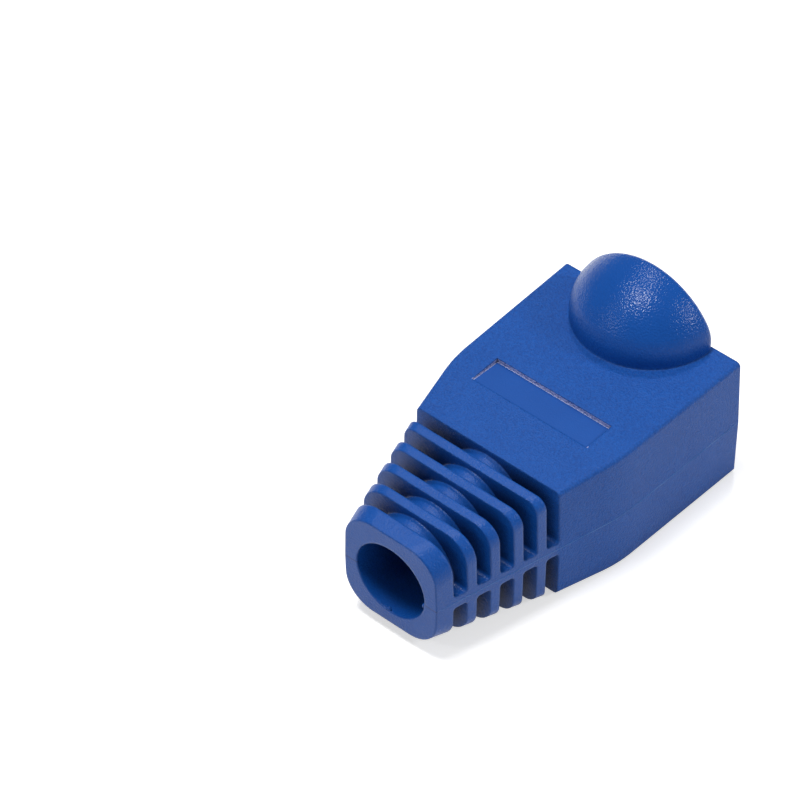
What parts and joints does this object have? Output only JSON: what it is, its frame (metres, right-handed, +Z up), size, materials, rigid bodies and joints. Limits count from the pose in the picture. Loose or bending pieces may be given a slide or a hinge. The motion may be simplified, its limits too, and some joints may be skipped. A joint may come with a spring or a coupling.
{
  "type": "rj45 strain relief boot",
  "caption": "Soft one-piece boot that slips over a modular plug: open mouth, domed latch hood, body tapering to a ribbed neck with a cable hole.",
  "frame": {"origin": "on the plane of the flat underside, below the middle of the bounding box", "axes": "+Y from the plug mouth towards the cable hole, +Z up to the side with the latch hood, X across"},
  "size_m": [0.0142, 0.0244, 0.0136],
  "materials": {
    "boot_plastic": "fine spark-eroded grain"
  },
  "bodies": {
    "root": {"boot": "boot_plastic"}
  },
  "joints": []
}
